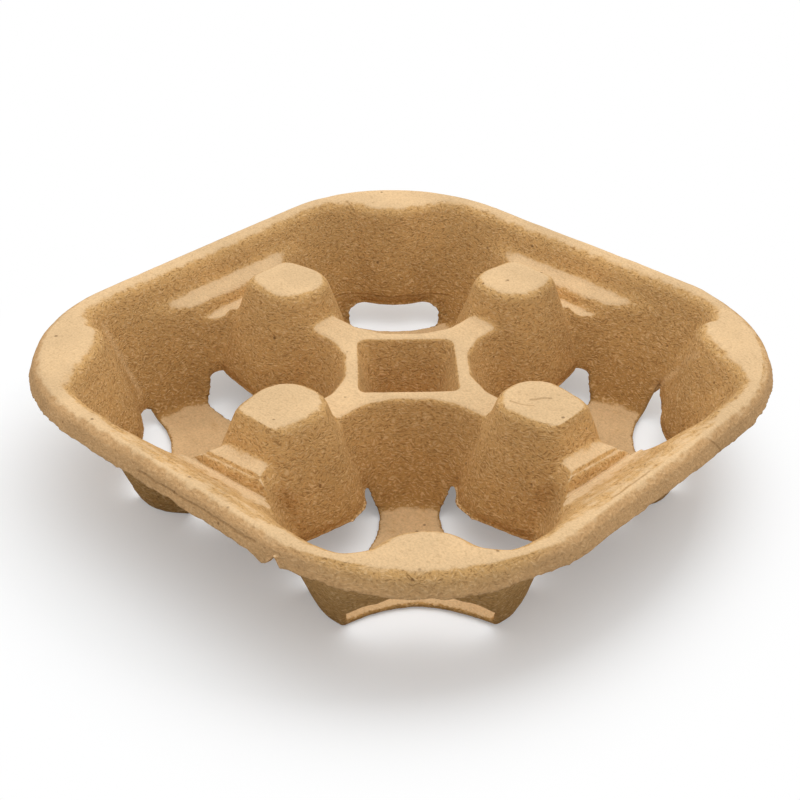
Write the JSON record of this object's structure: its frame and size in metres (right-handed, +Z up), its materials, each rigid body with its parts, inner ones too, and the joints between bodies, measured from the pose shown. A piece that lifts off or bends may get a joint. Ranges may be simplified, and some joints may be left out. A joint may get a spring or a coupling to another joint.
{
  "type": "cup carrier",
  "caption": "Square moulded-pulp tray with rounded corners that carries paper cups in tapered wells between hollow posts, with a small square pocket in the middle.",
  "frame": {"origin": "on the table, under the middle of the tray", "axes": "+Z up, with X and Y along the sides of the tray"},
  "size_m": [0.21, 0.21, 0.048],
  "materials": {
    "pulp": "rough matt brown paper pulp with visible fibres"
  },
  "bodies": {
    "root": {"tray": "pulp"}
  },
  "joints": []
}
